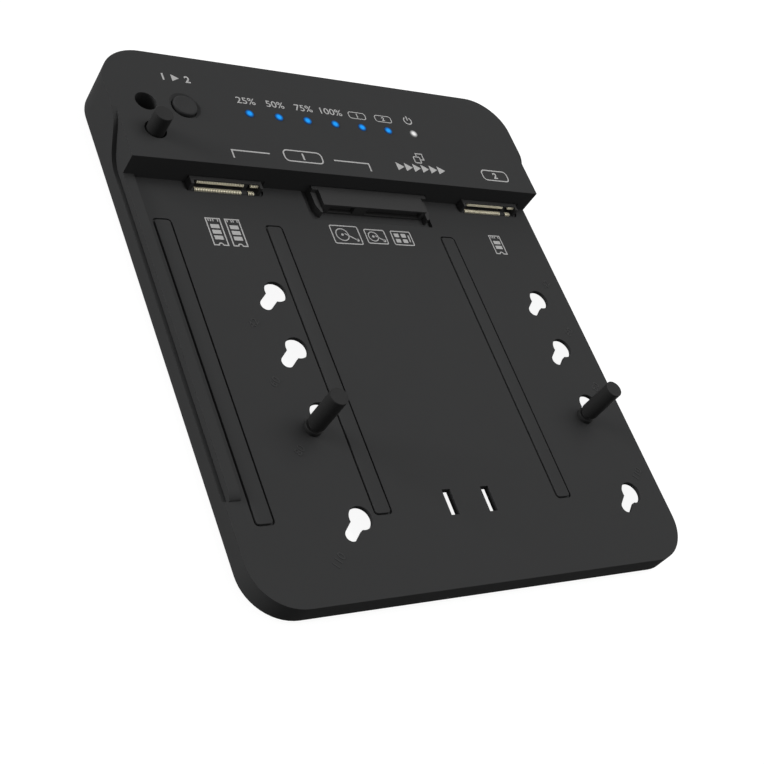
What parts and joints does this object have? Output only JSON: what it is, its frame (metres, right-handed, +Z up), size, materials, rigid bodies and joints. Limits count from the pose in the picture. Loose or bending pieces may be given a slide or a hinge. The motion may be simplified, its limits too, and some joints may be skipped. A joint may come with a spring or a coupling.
{
  "type": "drive duplicator",
  "caption": "Flat dock with a raised socket head, card posts sliding in keyholes, a start button, progress lamps, rubber strips, and rear power, data and switch.",
  "frame": {"origin": "middle of the overall outline, on the plane the feet stand on", "axes": "+X to the right, +Y to the back (the head), +Z up"},
  "size_m": [0.1416, 0.1648, 0.0222],
  "materials": {
    "housing_plastic": "fine matt texture",
    "cover_plastic": "fine matt texture",
    "strip_rubber": "smooth matt",
    "foot_rubber": "matt",
    "post_plastic": "matt",
    "button_plastic": "matt",
    "lamp_plastic": "clear, lit blue",
    "lamp_plastic_white": "clear, lit white",
    "chip_body": "matt",
    "lamp_chip_body": "gloss",
    "coil_body": "matt",
    "can_metal": "satin",
    "board_laminate": "solder mask",
    "socket_plastic": "satin",
    "contact_metal": "gold plated",
    "switch_plastic": "satin",
    "plunger_plastic": "satin",
    "shell_metal": "satin",
    "rocker_plastic": "satin",
    "screw_metal": "satin"
  },
  "bodies": {
    "dock": {"upper_housing": "housing_plastic", "lower_cover": "cover_plastic", "pad_left": "strip_rubber", "pad_mid": "strip_rubber", "pad_right": "strip_rubber", "foot_front_left": "foot_rubber", "foot_front_right": "foot_rubber", "foot_back_left": "foot_rubber", "foot_back_right": "foot_rubber", "case_screws": "screw_metal", "board_screws": "screw_metal", "start_switch": "switch_plastic", "lamp_quarter": "lamp_plastic", "lamp_half": "lamp_plastic", "lamp_three_quarter": "lamp_plastic", "lamp_full": "lamp_plastic", "lamp_source": "lamp_plastic", "lamp_target": "lamp_plastic", "lamp_power": "lamp_plastic_white", "lamp_chips": "lamp_chip_body", "main_board": "board_laminate", "bridge_chips": "chip_body", "controller_chip": "chip_body", "memory_chip": "chip_body", "coils": "coil_body", "capacitors": "can_metal", "card_socket_left": "socket_plastic", "card_socket_right": "socket_plastic", "card_contacts_left": "contact_metal", "card_contacts_right": "contact_metal", "drive_socket": "socket_plastic", "drive_contacts": "contact_metal", "data_shell": "shell_metal", "data_tongue": "socket_plastic", "power_socket": "socket_plastic", "power_pin": "contact_metal", "rocker_housing": "switch_plastic", "rocker_pins": "contact_metal"},
    "button": {"start_button": "button_plastic", "switch_plunger": "plunger_plastic"},
    "source_post": {"post_left": "post_plastic"},
    "target_post": {"post_right": "post_plastic"},
    "stored_post": {"post_spare": "post_plastic"},
    "power_rocker": {"rocker": "rocker_plastic"}
  },
  "joints": [
    {"name": "button_press", "type": "slide", "parent": "dock", "child": "button", "axis": [0, 0, -1], "range_m": [0, 0.0008], "stiffness_N_per_m": 800},
    {"name": "source_post_slide", "type": "slide", "parent": "dock", "child": "source_post", "axis": [0.7071, 0.7071, 0], "range_m": [0, 0.00606]},
    {"name": "target_post_slide", "type": "slide", "parent": "dock", "child": "target_post", "axis": [0.7071, 0.7071, 0], "range_m": [0, 0.00606]},
    {"name": "stored_post_lift", "type": "slide", "parent": "dock", "child": "stored_post", "axis": [0, 0, 1], "range_m": [0, 0.0105]},
    {"name": "power_rocker_turn", "type": "hinge", "parent": "dock", "child": "power_rocker", "pos_m": [0.047, 0.07975, 0.0089], "axis": [0, 0, 1], "range_deg": [-12, 0]}
  ]
}
